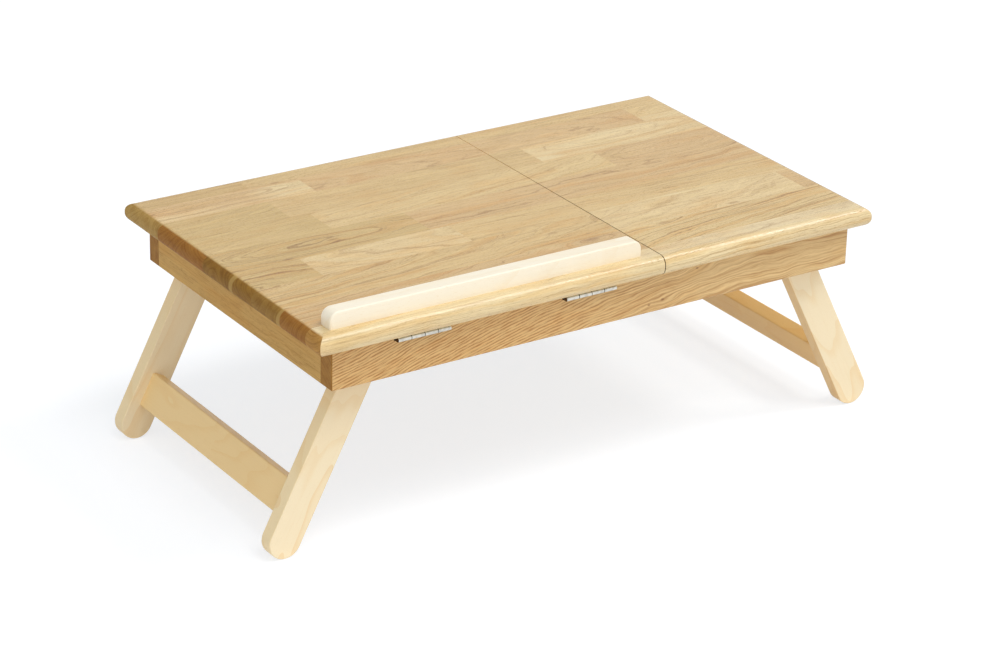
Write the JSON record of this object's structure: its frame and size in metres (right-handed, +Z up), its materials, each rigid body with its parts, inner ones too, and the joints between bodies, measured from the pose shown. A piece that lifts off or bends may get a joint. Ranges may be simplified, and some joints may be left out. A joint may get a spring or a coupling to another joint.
{
  "type": "laptop stand with drawer",
  "caption": "Folding wooden lap table with a tilting left panel on butt hinges, a book ledge, splayed folding leg frames and a shallow drawer under the fixed panel.",
  "frame": {"origin": "on the floor under the middle of the top", "axes": "+X along the long side towards the fixed panel and drawer, +Y away from the user, +Z up"},
  "size_m": [0.666, 0.362, 0.236],
  "materials": {
    "oak": "satin oiled oak staves",
    "birch": "satin birch",
    "dowel": "plain beech dowel",
    "plywood": "thin birch plywood",
    "zinc": "zinc plated",
    "screw": "zinc plated",
    "brass": "turned brass"
  },
  "bodies": {
    "frame": {"apron_back": "oak", "apron_dowels": "dowel", "apron_front": "oak", "apron_left": "oak", "apron_right": "oak", "batten_screws": "screw", "centre_rail": "birch", "drawer_stop": "birch", "fixed_top": "oak", "hinge_fixed_screws": "screw", "hinge_left_fixed_leaf": "zinc", "hinge_left_pin": "zinc", "hinge_right_fixed_leaf": "zinc", "hinge_right_pin": "zinc", "leg_bolts": "screw", "leg_inserts": "brass", "leg_washers": "zinc", "prop_bolts": "screw", "prop_washers": "zinc", "runner_far": "birch", "runner_near": "birch", "runner_screws": "screw", "seam_batten": "birch", "stop_screws": "screw", "top_dowels": "dowel"},
    "tilt_top": {"book_ledge": "birch", "hinge_left_moving_leaf": "zinc", "hinge_moving_screws": "screw", "hinge_right_moving_leaf": "zinc", "ledge_screws": "screw", "rack_left": "birch", "rack_right": "birch", "rack_screws": "screw", "tilt_top": "oak"},
    "prop_left": {"prop_left": "birch"},
    "prop_right": {"prop_right": "birch"},
    "left_legs": {"left_leg_back": "birch", "left_leg_front": "birch", "left_stretcher": "birch", "left_stretcher_dowels": "dowel"},
    "right_legs": {"right_leg_back": "birch", "right_leg_front": "birch", "right_stretcher": "birch", "right_stretcher_dowels": "dowel"},
    "drawer": {"drawer_back": "birch", "drawer_bottom": "plywood", "drawer_dowels": "dowel", "drawer_front": "oak", "drawer_side_far": "birch", "drawer_side_near": "birch"}
  },
  "joints": [
    {"name": "tilt", "type": "hinge", "parent": "frame", "child": "tilt_top", "pos_m": [-0.12, -0.174, 0.1989], "axis": [1, 0, 0], "range_deg": [0, 30]},
    {"name": "prop_left_swing", "type": "hinge", "parent": "frame", "child": "prop_left", "pos_m": [-0.253, -0.004, 0.17], "axis": [1, 0, 0], "range_deg": [0, 82]},
    {"name": "prop_right_swing", "type": "hinge", "parent": "frame", "child": "prop_right", "pos_m": [0.0348, -0.004, 0.17], "axis": [1, 0, 0], "range_deg": [0, 82]},
    {"name": "left_leg_fold", "type": "hinge", "parent": "frame", "child": "left_legs", "pos_m": [-0.23248, -0.001, 0.18175], "axis": [0, -1, 0], "range_deg": [0, 117]},
    {"name": "right_leg_fold", "type": "hinge", "parent": "frame", "child": "right_legs", "pos_m": [0.23248, -0.001, 0.18175], "axis": [0, 1, 0], "range_deg": [0, 117]},
    {"name": "drawer_slide", "type": "slide", "parent": "frame", "child": "drawer", "axis": [1, 0, 0], "range_m": [0, 0.12]}
  ],
  "couplings": [
    {"joint": "prop_left_swing", "follows": "tilt", "ratio": 2.7333},
    {"joint": "prop_right_swing", "follows": "tilt", "ratio": 2.7333}
  ]
}
